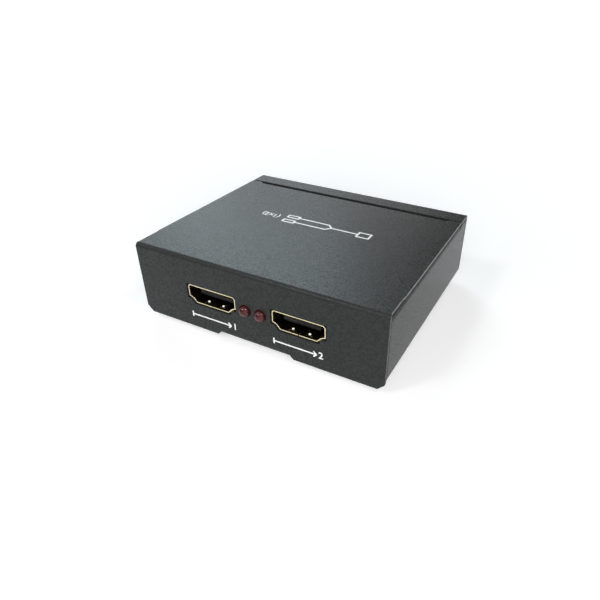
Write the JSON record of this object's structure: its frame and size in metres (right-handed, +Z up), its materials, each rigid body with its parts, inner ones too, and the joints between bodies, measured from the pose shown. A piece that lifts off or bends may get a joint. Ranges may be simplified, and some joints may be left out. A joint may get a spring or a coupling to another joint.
{
  "type": "video signal splitter",
  "caption": "Small folded steel box that copies a video signal from an input socket at the back to output sockets at the front, with indicator lamps and rubber feet.",
  "frame": {"origin": "centre of the outer box, lamp domes included, on the plane that the feet stand on", "axes": "+X along the front panel, to the right as seen from the front; +Y from the front panel to the rear panel; +Z up"},
  "size_m": [0.071, 0.0618, 0.022],
  "materials": {
    "case_paint": "fine textured slate grey powder coat, matt",
    "foot_rubber": "matt black rubber",
    "screw_steel": "zinc plated steel",
    "standoff_brass": "turned brass",
    "board_laminate": "green solder mask on laminate",
    "shell_gold": "pale gold plated sheet",
    "black_moulding": "moulded black plastic",
    "contact_gold": "gold plated contacts",
    "plated_steel": "tin plated wire and strip",
    "lamp_red": "clear dark red lens, unlit",
    "chip_black": "moulded black package",
    "can_aluminium": "bare drawn can"
  },
  "bodies": {
    "root": {"cover": "case_paint", "base_tray": "case_paint", "rubber_feet": "foot_rubber", "cover_screws": "screw_steel", "board_screws": "screw_steel", "board_standoffs": "standoff_brass", "circuit_board": "board_laminate", "out_port_1_shell": "shell_gold", "out_port_1_insulator": "black_moulding", "out_port_1_contacts": "contact_gold", "out_port_2_shell": "shell_gold", "out_port_2_insulator": "black_moulding", "out_port_2_contacts": "contact_gold", "in_port_shell": "shell_gold", "in_port_insulator": "black_moulding", "in_port_contacts": "contact_gold", "power_jack_body": "black_moulding", "power_jack_pin": "plated_steel", "power_jack_spring": "plated_steel", "lamp_1": "lamp_red", "lamp_2": "lamp_red", "lamp_leads": "plated_steel", "splitter_chip": "chip_black", "splitter_chip_leads": "plated_steel", "memory_chips": "chip_black", "clock_crystal": "can_aluminium", "voltage_regulators": "chip_black", "power_inductor": "chip_black", "storage_capacitors": "can_aluminium", "chip_resistors": "chip_black"}
  },
  "joints": []
}
